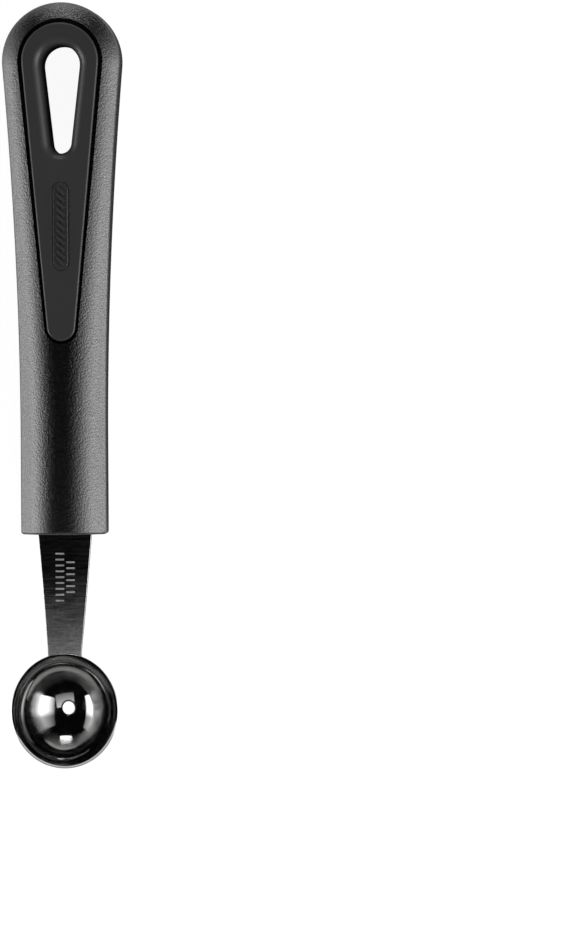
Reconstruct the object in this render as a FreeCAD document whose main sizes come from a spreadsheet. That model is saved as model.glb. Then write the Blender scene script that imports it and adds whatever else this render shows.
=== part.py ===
import FreeCAD, Part
import math
import os

import Sketcher
from FreeCAD import Rotation, Vector

# Melon baller lying on its back: the bowl opens upwards, the handle runs along +Y from the bowl
# to the hanging loop, and X = 0 is the plane of symmetry. A station is a distance along the
# handle from its mouth. The origin is under the middle of the whole tool.

# Driving dimensions in millimetres: name, size, what it measures.
DRIVING_DIMENSIONS = [
    ("handle_length", 123.4, "handle from its mouth to its round end"),
    ("handle_thickness", 15.5, "handle from back to front"),
    ("mouth_width", 20.0, "handle across its mouth"),
    ("straight_length", 22.0, "parallel stretch of the handle behind the mouth"),
    ("end_radius", 13.7, "round end of the handle"),
    ("parting_land", 0.1, "strip left between the front and the back rounding"),
    ("mouth_round", 0.7, "rounding of the mouth's outer edge"),
    ("side_wall", 3.05, "shell beside the bore"),
    ("web_wall", 0.95, "shell between the bore and an inlay"),
    ("fit_gap", 0.1, "clearance round the core, the tang and the loop's collars"),
    ("inlay_depth", 2.4, "thickness of an inlay and depth of its seat"),
    ("inlay_border", 4.8, "inlay's wide end inside the handle's round end"),
    ("inlay_length", 61.5, "between the centres of an inlay's two ends"),
    ("inlay_tip_radius", 3.3, "narrow end of an inlay"),
    ("inlay_edge_round", 0.7, "rounding of an inlay's outer edge"),
    ("groove_width", 1.0, "open groove round an inlay's wide end"),
    ("groove_tip_width", 0.65, "the same groove round its narrow end"),
    ("loop_land", 2.15, "flat of the inlay outside the loop's rounding"),
    ("loop_edge_round", 2.2, "rounding of the loop's edge"),
    ("loop_drop", 0.85, "loop's wide end below the centre of the handle's round end"),
    ("loop_length", 18.0, "between the centres of the loop's two ends"),
    ("loop_tip_radius", 2.5, "narrow end of the loop"),
    ("collar_wall", 1.3, "wall of the collar that lines the loop"),
    ("peg_radius", 1.25, "pegs that hold an inlay"),
    ("peg_spacing", 6.0, "between the two pegs of an inlay"),
    ("peg_end_gap", 1.35, "peg's end from the middle of the handle's thickness"),
    ("badge_drop", 38.2, "middle of the badge below the centre of the round end"),
    ("badge_length", 21.0, "badge along the handle"),
    ("badge_width", 4.4, "badge across the handle"),
    ("badge_line", 0.35, "width of the line engraved round the badge"),
    ("badge_depth", 0.3, "depth of that line"),
    ("pin_radius", 1.5, "cross pin through the tang"),
    ("pin_gap", 0.05, "clearance round the pin and the pegs"),
    ("pin_cover", 6.8, "pin beyond the centre of the inlays' narrow end"),
    ("pin_chamfer", 0.3, "chamfer at both ends of the pin"),
    ("tang_end", 5.0, "tang beyond the pin"),
    ("core_end", 6.0, "core beyond the tang"),
    ("core_lip", 0.6, "core beside the strip's shoulders"),
    ("shoulder_step", 1.6, "step from the strip's edge to the tang's edge"),
    ("shoulder_depth", 4.0, "strip's shoulders inside the mouth"),
    ("strip_thickness", 1.5, "steel strip of the shank"),
    ("strip_reach", 27.6, "shank from the mouth to the bowl's rim"),
    ("strip_end_width", 7.8, "shank across at the bowl"),
    ("bend_start", 6.0, "straight stretch of the shank outside the mouth"),
    ("strip_rise", 2.4, "climb of the shank from the handle to the bowl"),
    ("bowl_half_width", 12.1, "inside of the bowl's ball from its middle, across the handle"),
    ("bowl_half_length", 13.0, "inside of that ball from its middle, along the handle"),
    ("bowl_half_height", 12.6, "inside of that ball from its middle, downwards"),
    ("bowl_depth", 11.0, "rim to the inside of the bottom"),
    ("bowl_sheet", 0.6, "steel sheet of the bowl"),
    ("drain_diameter", 3.0, "drain hole in the bottom of the bowl"),
    ("rim_bevel", 0.4, "bevel that sharpens the rim"),
    ("rim_above_strip", 0.7, "rim above the shank's upper face"),
    ("weld_gap", 0.05, "strip and weld bead off the bowl's wall"),
    ("weld_radius", 0.9, "size of the weld bead"),
    ("weld_inset", 0.3, "end of the weld bead inside the strip's edge"),
]

# Heights and stations that follow from the driving dimensions.
MID_HEIGHT = "(dims.handle_thickness / 2)"
SEAT_HEIGHT = "(dims.handle_thickness - dims.inlay_depth)"
END_STATION = "(dims.handle_length - dims.end_radius)"
TIP_STATION = f"({END_STATION} - dims.inlay_length)"
LOOP_STATION = f"({END_STATION} - dims.loop_drop)"
LOOP_TIP_STATION = f"({LOOP_STATION} - dims.loop_length)"
BADGE_STATION = f"({END_STATION} - dims.badge_drop)"
PIN_STATION = f"({TIP_STATION} + dims.pin_cover)"
TANG_STATION = f"({PIN_STATION} + dims.tang_end)"
CORE_STATION = f"({TANG_STATION} + dims.core_end)"
LOOP_BOTTOM = f"({LOOP_TIP_STATION} - dims.loop_tip_radius - dims.collar_wall)"
PEG_STATION = f"(({CORE_STATION} + {LOOP_BOTTOM}) / 2)"

# Widths and radii that follow from them.
SHELL_ROUND = "((min(dims.handle_thickness; dims.mouth_width) - dims.parting_land) / 2)"
INLAY_RADIUS = "(dims.end_radius - dims.inlay_border)"
LOOP_RADIUS = f"({INLAY_RADIUS} - dims.loop_land - dims.loop_edge_round)"
CORE_WIDTH = "(dims.mouth_width - 2 * (dims.side_wall + dims.fit_gap))"
CORE_HEIGHT = "(dims.handle_thickness - 2 * (dims.inlay_depth + dims.web_wall + dims.fit_gap))"
SHOULDER_WIDTH = f"({CORE_WIDTH} - 2 * dims.core_lip)"
TANG_WIDTH = f"({SHOULDER_WIDTH} - 2 * dims.shoulder_step)"
BLANK_WIDTH = f"({SHOULDER_WIDTH} + 2 * dims.shoulder_step)"
PIN_HOLE_RADIUS = "(dims.pin_radius + dims.pin_gap)"

# The bowl is part of a slightly oval ball, whose middle lies above the rim and beyond the shank.
OUTER_HEIGHT = "(dims.bowl_half_height + dims.bowl_sheet)"
OUTER_WIDTH = "(dims.bowl_half_width + dims.bowl_sheet)"
OUTER_LENGTH = "(dims.bowl_half_length + dims.bowl_sheet)"
RIM_BELOW_BALL = "(dims.bowl_half_height - dims.bowl_depth)"
RIM_REACH = f"({OUTER_LENGTH} * sqrt(1 - ({RIM_BELOW_BALL} / {OUTER_HEIGHT})^2))"
STRIP_TOP = f"({MID_HEIGHT} + dims.strip_rise + dims.strip_thickness / 2)"
STRIP_UNDERSIDE = f"({STRIP_TOP} - dims.strip_thickness)"
BALL_HEIGHT = f"({STRIP_TOP} + dims.rim_above_strip + {RIM_BELOW_BALL})"
BOWL_STATION = f"(-dims.strip_reach - {RIM_REACH})"
BEND_RUN = "(dims.strip_reach - dims.bend_start)"
BEND_RADIUS = f"(({BEND_RUN}^2 + dims.strip_rise^2) / (2 * dims.strip_rise))"

# The weld bead follows the oval's curve at the strip's underside: its end has this radius there.
WELD_SHARE = f"sqrt(1 - (({BALL_HEIGHT} - {STRIP_UNDERSIDE}) / {OUTER_HEIGHT})^2)"
WELD_RING_RADIUS = f"({OUTER_WIDTH}^2 / {OUTER_LENGTH} * {WELD_SHARE})"
WELD_STATION = f"({BOWL_STATION} + {OUTER_LENGTH} * {WELD_SHARE} - {WELD_RING_RADIUS})"
WELD_SPAN = f"(2 * asin((dims.strip_end_width / 2 - dims.weld_inset) / {WELD_RING_RADIUS}))"

# The tool reaches from the far side of the bowl to the handle's round end.
MIDDLE_STATION = f"((dims.handle_length + {BOWL_STATION} - {RIM_REACH}) / 2)"

UP = Vector(0, 0, 1)
ALONG = Vector(0, 1, 0)
QUARTER_TURN = 90
TOUCHING = 1e-6

# Numbers that sketches use: the points of a line or an arc, and the sketch's own two axes, which
# cross at the start of the first one.
START, END, CENTRE = range(1, 4)
ACROSS_AXIS, UPRIGHT_AXIS = range(-1, -3, -1)

doc = FreeCAD.newDocument("melon_baller")
dims = doc.addObject("Spreadsheet::Sheet", "dims")
for row, (name, size, meaning) in enumerate(DRIVING_DIMENSIONS, start=1):
    dims.set(f"A{row}", meaning)
    dims.set(f"B{row}", str(size))
    dims.setAlias(f"B{row}", name)
doc.recompute()


def number(expression):
    """Value that an expression over the sheet has now."""
    return float(dims.evalExpression(expression))


# Sketch helpers

def new_sketch(body, name, plane, out="0", right="0", up="0"):
    """Sketch on one of the body's own planes, moved off it and along it."""
    sketch = body.newObject("Sketcher::SketchObject", name)
    support = [item for item in body.Origin.OriginFeatures if item.Role == plane][0]
    sketch.AttachmentSupport = [(support, "")]
    sketch.MapMode = "FlatFace"
    for axis, distance in zip("xyz", (right, up, out)):
        sketch.setExpression(f"AttachmentOffset.Base.{axis}", distance)
    return sketch


def tie(sketch, expression, kind, *where):
    """Dimension in a sketch that follows an expression over the sheet."""
    index = sketch.addConstraint(Sketcher.Constraint(kind, *where, number(expression)))
    sketch.setExpression(f"Constraints[{index}]", expression)


def fix(sketch, kind, *where):
    """Geometric constraint without a size."""
    sketch.addConstraint(Sketcher.Constraint(kind, *where))


def add_line(sketch, start, end):
    return sketch.addGeometry(Part.LineSegment(Vector(*start, 0), Vector(*end, 0)))


def add_arc(sketch, centre, radius, first, last):
    circle = Part.Circle(Vector(*centre, 0), UP, radius)
    return sketch.addGeometry(Part.ArcOfCircle(circle, first, last))


def add_circle(sketch, radius, right, up):
    """Circle with its centre tied to the sketch's origin."""
    circle = Part.Circle(Vector(number(right), number(up), 0), UP, number(radius))
    index = sketch.addGeometry(circle)
    tie(sketch, radius, "Radius", index)
    tie(sketch, right, "DistanceX", ACROSS_AXIS, START, index, CENTRE)
    tie(sketch, up, "DistanceY", ACROSS_AXIS, START, index, CENTRE)


def add_polygon(sketch, points):
    """Closed run of lines, each from one point to the next."""
    lines = [add_line(sketch, here, there) for here, there in zip(points, points[1:] + points[:1])]
    for line, following in zip(lines, lines[1:] + lines[:1]):
        fix(sketch, "Coincident", line, END, following, START)
    return lines


def add_rectangle(sketch, width, low, high):
    """Rectangle from one height to another, even about the sketch's upright axis."""
    half, bottom, top = number(width) / 2, number(low), number(high)
    corners = [(-half, bottom), (half, bottom), (half, top), (-half, top)]
    base, right, roof, left = add_polygon(sketch, corners)
    fix(sketch, "Symmetric", base, START, base, END, UPRIGHT_AXIS)
    fix(sketch, "Symmetric", roof, START, roof, END, UPRIGHT_AXIS)
    fix(sketch, "Vertical", right)
    tie(sketch, width, "DistanceX", base, START, base, END)
    tie(sketch, low, "DistanceY", ACROSS_AXIS, START, base, START)
    tie(sketch, high, "DistanceY", ACROSS_AXIS, START, roof, START)


def add_teardrop(sketch, wide_radius, wide_place, tip_radius, tip_place):
    """Outline round two circles on the sketch's upright axis, the first one above the second."""
    wide, tip = number(wide_radius), number(tip_radius)
    wide_y, tip_y = number(wide_place), number(tip_place)
    lean = math.asin((wide - tip) / (wide_y - tip_y))
    across, down = math.cos(lean), math.sin(lean)
    top = add_arc(sketch, (0, wide_y), wide, -lean, math.pi + lean)
    left = add_line(
        sketch,
        (-wide * across, wide_y - wide * down),
        (-tip * across, tip_y - tip * down),
    )
    bottom = add_arc(sketch, (0, tip_y), tip, math.pi + lean, 2 * math.pi - lean)
    right = add_line(
        sketch,
        (tip * across, tip_y - tip * down),
        (wide * across, wide_y - wide * down),
    )
    loop = [top, left, bottom, right]
    for piece, following in zip(loop, loop[1:] + loop[:1]):
        fix(sketch, "Tangent", piece, END, following, START)
    for arc, radius, place in ((top, wide_radius, wide_place), (bottom, tip_radius, tip_place)):
        fix(sketch, "PointOnObject", arc, CENTRE, UPRIGHT_AXIS)
        tie(sketch, place, "DistanceY", ACROSS_AXIS, START, arc, CENTRE)
        tie(sketch, radius, "Radius", arc)


def add_stadium(sketch, width, height, middle):
    """Two flats joined by half circles, even about the upright axis, at a middle height."""
    radius = number(height) / 2
    reach = number(width) / 2 - radius
    level = number(middle)
    right = add_arc(sketch, (reach, level), radius, -math.pi / 2, math.pi / 2)
    roof = add_line(sketch, (reach, level + radius), (-reach, level + radius))
    left = add_arc(sketch, (-reach, level), radius, math.pi / 2, 3 * math.pi / 2)
    base = add_line(sketch, (-reach, level - radius), (reach, level - radius))
    loop = [right, roof, left, base]
    for piece, following in zip(loop, loop[1:] + loop[:1]):
        fix(sketch, "Tangent", piece, END, following, START)
    fix(sketch, "Symmetric", left, CENTRE, right, CENTRE, UPRIGHT_AXIS)
    fix(sketch, "Equal", left, right)
    tie(sketch, f"{height} / 2", "Radius", right)
    tie(sketch, f"{width} - {height}", "DistanceX", left, CENTRE, right, CENTRE)
    tie(sketch, middle, "DistanceY", ACROSS_AXIS, START, right, CENTRE)


# Feature helpers

def put(piece, station, height):
    """Place a piece by its own station and height, with the tool's middle over the origin."""
    piece.setExpression("Placement.Base.y", f"{station} - {MIDDLE_STATION}")
    piece.setExpression("Placement.Base.z", height)


def new_body(label, station="0", height="0"):
    body = doc.addObject("PartDesign::Body", label)
    body.Label = label
    put(body, station, height)
    return body


def add_pad(body, name, sketch, length, reverse=False, both_ways=False):
    pad = body.newObject("PartDesign::Pad", name)
    pad.Profile = sketch
    pad.SideType = "Symmetric" if both_ways else "One side"
    pad.Reversed = reverse
    pad.setExpression("Length", length)
    doc.recompute()
    return pad


def size_ball(ball, wall):
    """Give a ball the shape of the bowl's inside, grown by a wall."""
    ball.setExpression("Radius1", f"dims.bowl_half_height + {wall}")
    ball.setExpression("Radius2", f"dims.bowl_half_width + {wall}")
    ball.setExpression("Radius3", f"dims.bowl_half_length + {wall}")


def must_cut(body, feature, volume_before):
    """Stop if a cut took nothing away."""
    doc.recompute()
    if feature.Shape.isNull() or feature.Shape.Volume > volume_before - TOUCHING:
        raise RuntimeError(f"{body.Label}: {feature.Name} cut nothing")


def cut_ball(body, name, wall, station="0", height="0"):
    """Hollow of the bowl's shape, grown by a wall."""
    volume_before = body.Tip.Shape.Volume
    ball = body.newObject("PartDesign::SubtractiveEllipsoid", name)
    size_ball(ball, wall)
    ball.setExpression("Placement.Base.y", station)
    ball.setExpression("Placement.Base.z", height)
    must_cut(body, ball, volume_before)


def cut_pocket(body, name, sketch, depth=None, reverse=False):
    """Pocket of one depth or, without a depth, right through both ways."""
    volume_before = body.Tip.Shape.Volume
    pocket = body.newObject("PartDesign::Pocket", name)
    pocket.Profile = sketch
    pocket.Reversed = reverse
    if depth is None:
        pocket.SideType = "Symmetric"
        pocket.Type = "ThroughAll"
    else:
        pocket.setExpression("Length", depth)
    must_cut(body, pocket, volume_before)


def cut_holes(body, name, radius, places):
    """Round holes through the whole piece, at (across, station) places."""
    sketch = new_sketch(body, f"{name}_plan", "XY_Plane")
    for right, station in places:
        add_circle(sketch, radius, right, station)
    cut_pocket(body, name, sketch)


def flat_face(shape, direction, level):
    """Largest plane face square to a direction, at one level along it."""
    faces = [
        face for face in shape.Faces
        if isinstance(face.Surface, Part.Plane)
        and abs(abs(face.Surface.Axis.dot(direction)) - 1) < TOUCHING
        and abs(face.CenterOfMass.dot(direction) - level) < TOUCHING
    ]
    return max(faces, key=lambda face: face.Area)


def dress_edges(body, kind, name, edges, size_name, size):
    """Fillet or chamfer on some edges of the body as it is so far."""
    base = body.Tip
    wanted = [
        f"Edge{place}" for place, edge in enumerate(base.Shape.Edges, start=1)
        if any(edge.isSame(other) for other in edges)
    ]
    dressing = body.newObject(f"PartDesign::{kind}", name)
    dressing.Base = (base, wanted)
    dressing.setExpression(size_name, size)
    doc.recompute()


# Handle shell: moulded outer part with a bore for the core, a seat for each inlay and the loop

def shell_outline(body):
    """Parallel sides from the mouth, then arcs that meet the round end without a corner."""
    half = number("dims.mouth_width") / 2
    straight = number("dims.straight_length")
    end_y, end_r = number(END_STATION), number("dims.end_radius")
    rise = end_y - straight
    side_r = (rise**2 + half**2 - end_r**2) / (2 * (end_r - half))
    turn = math.asin(rise / (side_r + end_r))
    meet = (end_r * math.cos(turn), end_y - end_r * math.sin(turn))

    sketch = new_sketch(body, "shell_outline", "XY_Plane")
    mouth = add_line(sketch, (-half, 0), (half, 0))
    right = add_line(sketch, (half, 0), (half, straight))
    right_side = add_arc(sketch, (half + side_r, straight), side_r, math.pi - turn, math.pi)
    end = add_arc(sketch, (0, end_y), end_r, -turn, math.pi + turn)
    left_side = add_arc(sketch, (-half - side_r, straight), side_r, 0, turn)
    left = add_line(sketch, (-half, straight), (-half, 0))
    fix(sketch, "Coincident", mouth, END, right, START)
    fix(sketch, "Tangent", right, END, right_side, END)
    fix(sketch, "Tangent", right_side, START, end, START)
    fix(sketch, "Tangent", end, END, left_side, END)
    fix(sketch, "Tangent", left_side, START, left, START)
    fix(sketch, "Coincident", left, END, mouth, START)
    fix(sketch, "Vertical", right)
    fix(sketch, "Vertical", left)
    fix(sketch, "Equal", left, right)
    fix(sketch, "Symmetric", mouth, START, mouth, END, UPRIGHT_AXIS)
    fix(sketch, "PointOnObject", mouth, START, ACROSS_AXIS)
    fix(sketch, "PointOnObject", end, CENTRE, UPRIGHT_AXIS)
    tie(sketch, "dims.mouth_width", "DistanceX", mouth, START, mouth, END)
    tie(sketch, "dims.straight_length", "DistanceY", right, START, right, END)
    tie(sketch, "dims.end_radius", "Radius", end)
    tie(sketch, END_STATION, "DistanceY", ACROSS_AXIS, START, end, CENTRE)
    return sketch


def make_handle_shell():
    body = new_body("handle_shell")
    block = add_pad(body, "shell_block", shell_outline(body), "dims.handle_thickness")
    rims = [
        edge for level in (0, number("dims.handle_thickness"))
        for edge in flat_face(block.Shape, UP, level).OuterWire.Edges
        if edge.CenterOfMass.y > TOUCHING
    ]
    dress_edges(body, "Fillet", "shell_rounding", rims, "Radius", SHELL_ROUND)
    mouth = flat_face(body.Tip.Shape, ALONG, 0).OuterWire.Edges
    dress_edges(body, "Fillet", "mouth_rounding", mouth, "Radius", "dims.mouth_round")

    bore = new_sketch(body, "bore_section", "XZ_Plane")
    add_stadium(
        bore, f"({CORE_WIDTH} + 2 * dims.fit_gap)", f"({CORE_HEIGHT} + 2 * dims.fit_gap)", MID_HEIGHT
    )
    cut_pocket(body, "bore", bore, f"{CORE_STATION} + dims.fit_gap")

    for name, level, reverse in (("front", "dims.handle_thickness", False), ("rear", "0", True)):
        seat = new_sketch(body, f"{name}_seat_plan", "XY_Plane", out=level)
        add_teardrop(
            seat,
            f"{INLAY_RADIUS} + dims.groove_width", END_STATION,
            "dims.inlay_tip_radius + dims.groove_tip_width", TIP_STATION,
        )
        cut_pocket(body, f"{name}_seat", seat, "dims.inlay_depth", reverse)

    loop = new_sketch(body, "loop_plan", "XY_Plane")
    add_teardrop(
        loop,
        f"{LOOP_RADIUS} + dims.collar_wall + dims.fit_gap", LOOP_STATION,
        "dims.loop_tip_radius + dims.collar_wall + dims.fit_gap", LOOP_TIP_STATION,
    )
    cut_pocket(body, "loop", loop)
    cut_holes(body, "pin_hole", PIN_HOLE_RADIUS, [("0", PIN_STATION)])
    cut_holes(body, "peg_holes", "dims.peg_radius + dims.pin_gap", peg_places())
    return body


# Inlays: soft pads with a collar that lines the loop and two pegs; the rear one is turned over

def peg_places():
    return [(f"{side} * dims.peg_spacing / 2", PEG_STATION) for side in (-1, 1)]


def make_inlay(label, turned, badge):
    body = new_body(label)
    plate = new_sketch(body, "plate_plan", "XY_Plane", out=SEAT_HEIGHT)
    add_teardrop(plate, INLAY_RADIUS, END_STATION, "dims.inlay_tip_radius", TIP_STATION)
    add_pad(body, "plate", plate, "dims.inlay_depth")

    collar = new_sketch(body, "collar_plan", "XY_Plane", out=SEAT_HEIGHT)
    add_teardrop(
        collar,
        f"{LOOP_RADIUS} + dims.collar_wall", LOOP_STATION,
        "dims.loop_tip_radius + dims.collar_wall", LOOP_TIP_STATION,
    )
    add_pad(body, "collar", collar, f"{SEAT_HEIGHT} - {MID_HEIGHT}", reverse=True)

    throat = new_sketch(body, "throat_plan", "XY_Plane")
    add_teardrop(throat, LOOP_RADIUS, LOOP_STATION, "dims.loop_tip_radius", LOOP_TIP_STATION)
    cut_pocket(body, "throat", throat)

    face = flat_face(body.Tip.Shape, UP, number("dims.handle_thickness"))
    rim = face.OuterWire.Edges
    dress_edges(body, "Fillet", "edge_rounding", rim, "Radius", "dims.inlay_edge_round")
    face = flat_face(body.Tip.Shape, UP, number("dims.handle_thickness"))
    rim = face.OuterWire.Edges
    loop = [edge for edge in face.Edges if not any(edge.isSame(other) for other in rim)]
    dress_edges(body, "Fillet", "loop_rounding", loop, "Radius", "dims.loop_edge_round")

    pegs = new_sketch(body, "peg_plan", "XY_Plane", out=SEAT_HEIGHT)
    for right, station in peg_places():
        add_circle(pegs, "dims.peg_radius", right, station)
    peg_length = f"{SEAT_HEIGHT} - {MID_HEIGHT} - dims.peg_end_gap"
    add_pad(body, "pegs", pegs, peg_length, reverse=True)

    if badge:
        line = new_sketch(body, "badge_plan", "XY_Plane", out="dims.handle_thickness")
        run = "(dims.badge_length - dims.badge_width) / 2"
        for radius in ("dims.badge_width / 2", "dims.badge_width / 2 - dims.badge_line"):
            add_teardrop(
                line, radius, f"{BADGE_STATION} + {run}", radius, f"{BADGE_STATION} - {run}"
            )
        cut_pocket(body, "badge_line", line, "dims.badge_depth")
    if turned:
        body.Placement.Rotation = Rotation(ALONG, 180)
        put(body, "0", "dims.handle_thickness")
    return body


# Handle core: carrier in the bore, with a slot for the tang and a wider one for the shoulders

def make_handle_core():
    body = new_body("handle_core")
    section = new_sketch(body, "core_section", "XZ_Plane")
    add_stadium(section, CORE_WIDTH, CORE_HEIGHT, MID_HEIGHT)
    add_pad(body, "core_block", section, CORE_STATION, reverse=True)
    for name, width, depth in (
        ("shoulder_slot", SHOULDER_WIDTH, "dims.shoulder_depth"),
        ("tang_slot", TANG_WIDTH, TANG_STATION),
    ):
        slot = new_sketch(body, f"{name}_section", "XZ_Plane")
        half_height = "(dims.strip_thickness / 2 + dims.fit_gap)"
        add_rectangle(
            slot,
            f"{width} + 2 * dims.fit_gap",
            f"{MID_HEIGHT} - {half_height}",
            f"{MID_HEIGHT} + {half_height}",
        )
        cut_pocket(body, name, slot, f"{depth} + dims.fit_gap")
    cut_holes(body, "pin_hole", PIN_HOLE_RADIUS, [("0", PIN_STATION)])
    return body


# Tang pin: cross pin that stops just short of both inlays

def make_tang_pin():
    body = new_body("tang_pin")
    section = new_sketch(body, "pin_section", "XY_Plane", out="dims.inlay_depth + dims.fit_gap")
    add_circle(section, "dims.pin_radius", "0", PIN_STATION)
    length = "dims.handle_thickness - 2 * (dims.inlay_depth + dims.fit_gap)"
    rod = add_pad(body, "pin_rod", section, length)
    bottom = number("dims.inlay_depth + dims.fit_gap")
    ends = [
        edge for level in (bottom, bottom + number(length))
        for edge in flat_face(rod.Shape, UP, level).Edges
    ]
    dress_edges(body, "Chamfer", "pin_ends", ends, "Size", "dims.pin_chamfer")
    return body


# Shank: flat strip with a narrower tang, bent up to the bowl and cut to the bowl's round wall

def strip_side_view(body):
    """Strip seen from the side: level through the handle, then one gentle arc up to the bowl."""
    half = number("dims.strip_thickness") / 2
    middle, radius = number(MID_HEIGHT), number(BEND_RADIUS)
    tang_end, far_end = number(TANG_STATION), number(BOWL_STATION)
    bend = -number("dims.bend_start")
    centre = (bend, middle + radius)
    low_turn = math.asin((bend - far_end) / (radius + half))
    high_turn = math.asin((bend - far_end) / (radius - half))
    down = -math.pi / 2

    def end_point(arc_radius, turn):
        return (far_end, centre[1] - arc_radius * math.cos(turn))

    sketch = new_sketch(body, "strip_side_view", "YZ_Plane")
    tang = add_line(sketch, (tang_end, middle - half), (tang_end, middle + half))
    roof = add_line(sketch, (tang_end, middle + half), (bend, middle + half))
    high = add_arc(sketch, centre, radius - half, down - high_turn, down)
    far = add_line(sketch, end_point(radius - half, high_turn), end_point(radius + half, low_turn))
    low = add_arc(sketch, centre, radius + half, down - low_turn, down)
    base = add_line(sketch, (bend, middle - half), (tang_end, middle - half))
    fix(sketch, "Coincident", tang, END, roof, START)
    fix(sketch, "Tangent", roof, END, high, END)
    fix(sketch, "Coincident", high, START, far, START)
    fix(sketch, "Coincident", far, END, low, START)
    fix(sketch, "Tangent", low, END, base, START)
    fix(sketch, "Coincident", base, END, tang, START)
    fix(sketch, "Coincident", low, CENTRE, high, CENTRE)
    fix(sketch, "Horizontal", roof)
    fix(sketch, "Horizontal", base)
    fix(sketch, "Vertical", tang)
    fix(sketch, "Vertical", far)
    tie(sketch, "dims.strip_thickness", "DistanceY", tang, START, tang, END)
    tie(sketch, f"{MID_HEIGHT} - dims.strip_thickness / 2", "DistanceY", ACROSS_AXIS, START, base, END)
    tie(sketch, TANG_STATION, "DistanceX", ACROSS_AXIS, START, tang, START)
    tie(sketch, BOWL_STATION, "DistanceX", ACROSS_AXIS, START, far, START)
    tie(sketch, "-dims.bend_start", "DistanceX", ACROSS_AXIS, START, low, CENTRE)
    tie(sketch, f"{BEND_RADIUS} + dims.strip_thickness / 2", "Radius", low)
    return sketch


def strip_waste(body):
    """What is cut away round the strip's outline: tang, shoulders, then a taper to the bowl."""
    taper = f"(({SHOULDER_WIDTH} - dims.strip_end_width) / dims.strip_reach)"
    outline = [
        (f"{SHOULDER_WIDTH} + {taper} * {BOWL_STATION}", BOWL_STATION),
        (SHOULDER_WIDTH, "0"),
        (SHOULDER_WIDTH, "dims.shoulder_depth"),
        (TANG_WIDTH, "dims.shoulder_depth"),
        (TANG_WIDTH, TANG_STATION),
    ]
    right = [(number(width) / 2, number(station)) for width, station in outline]
    left = [(-across, station) for across, station in reversed(right)]
    sketch = new_sketch(body, "strip_waste", "XY_Plane")
    lines = add_polygon(sketch, right + left)
    for (width, station), line, twin in zip(outline, lines, reversed(lines)):
        fix(sketch, "Symmetric", line, START, twin, START, UPRIGHT_AXIS)
        tie(sketch, width, "DistanceX", twin, START, line, START)
        tie(sketch, station, "DistanceY", ACROSS_AXIS, START, line, START)
    add_rectangle(
        sketch,
        f"{BLANK_WIDTH} + 2 * dims.shoulder_step",
        f"{BOWL_STATION} - dims.shoulder_step",
        f"{TANG_STATION} + dims.shoulder_step",
    )
    return sketch


def make_shank():
    body = new_body("shank")
    add_pad(body, "strip_blank", strip_side_view(body), BLANK_WIDTH, both_ways=True)
    cut_pocket(body, "strip_outline", strip_waste(body))
    cut_ball(body, "bowl_seat", "dims.bowl_sheet + dims.weld_gap", BOWL_STATION, BALL_HEIGHT)
    cut_holes(body, "pin_hole", PIN_HOLE_RADIUS, [("0", PIN_STATION)])
    return body


# Scoop bowl: pressed sheet with a sharpened rim and a drain hole, drawn about its ball's middle

def make_scoop_bowl():
    body = new_body("scoop_bowl", BOWL_STATION, BALL_HEIGHT)
    ball = body.newObject("PartDesign::AdditiveEllipsoid", "outside")
    size_ball(ball, "dims.bowl_sheet")
    doc.recompute()
    cut_ball(body, "inside", "0")

    above = new_sketch(body, "above_rim", "XY_Plane", out=f"-{RIM_BELOW_BALL}")
    reach = f"({OUTER_LENGTH} + {OUTER_WIDTH})"
    add_rectangle(above, f"2 * {reach}", f"-{reach}", reach)
    cut_pocket(body, "open_top", above, f"{RIM_BELOW_BALL} + {OUTER_HEIGHT}", reverse=True)
    cut_holes(body, "drain", "dims.drain_diameter / 2", [("0", "0")])

    outer_rim = flat_face(body.Tip.Shape, UP, -number(RIM_BELOW_BALL)).OuterWire.Edges
    dress_edges(body, "Chamfer", "rim_bevel", outer_rim, "Size", "dims.rim_bevel")
    return body


# Weld bead: filler in the corner under the strip, where it meets the bowl

def make_weld_bead(shank):
    ring = doc.addObject("Part::Torus", "weld_ring")
    ring.setExpression("Radius1", WELD_RING_RADIUS)
    ring.setExpression("Radius2", "dims.weld_radius")
    ring.setExpression("Angle3", WELD_SPAN)
    ring.Placement.Rotation = Rotation(UP, QUARTER_TURN)
    ring.setExpression("Placement.Rotation.Angle", f"{QUARTER_TURN} deg - {WELD_SPAN} / 2")
    put(ring, WELD_STATION, STRIP_UNDERSIDE)

    bowl_outside = doc.addObject("Part::Ellipsoid", "bowl_outside")
    size_ball(bowl_outside, "dims.bowl_sheet + dims.weld_gap")
    put(bowl_outside, BOWL_STATION, BALL_HEIGHT)

    off_bowl = doc.addObject("Part::Cut", "weld_off_bowl")
    off_bowl.Base, off_bowl.Tool = ring, bowl_outside
    bead = doc.addObject("Part::Cut", "weld_bead")
    bead.Label = "weld_bead"
    bead.Base, bead.Tool = off_bowl, shank
    doc.recompute()
    return bead


shank = make_shank()
pieces = [
    make_scoop_bowl(),
    make_weld_bead(shank),
    shank,
    make_tang_pin(),
    make_handle_core(),
    make_handle_shell(),
    make_inlay("front_inlay", turned=False, badge=True),
    make_inlay("rear_inlay", turned=True, badge=False),
]
doc.recompute()

# Every feature has to be sound before any file is written.
for item in doc.Objects:
    if "Invalid" in item.State or "Error" in item.State:
        raise RuntimeError(f"{item.Name} failed: {item.State}")
for sketch in doc.findObjects("Sketcher::SketchObject"):
    if not sketch.FullyConstrained:
        raise RuntimeError(f"{sketch.Name} is not fully constrained")
for piece in pieces:
    if piece.Shape.isNull() or not piece.Shape.isValid() or len(piece.Shape.Solids) != 1:
        raise RuntimeError(f"{piece.Label} is not one sound solid")

os.makedirs("parts", exist_ok=True)
for piece in pieces:
    piece.Shape.exportStep(f"parts/{piece.Label}.step")
    print(piece.Label, f"{piece.Shape.Volume:.1f} mm3")
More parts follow.
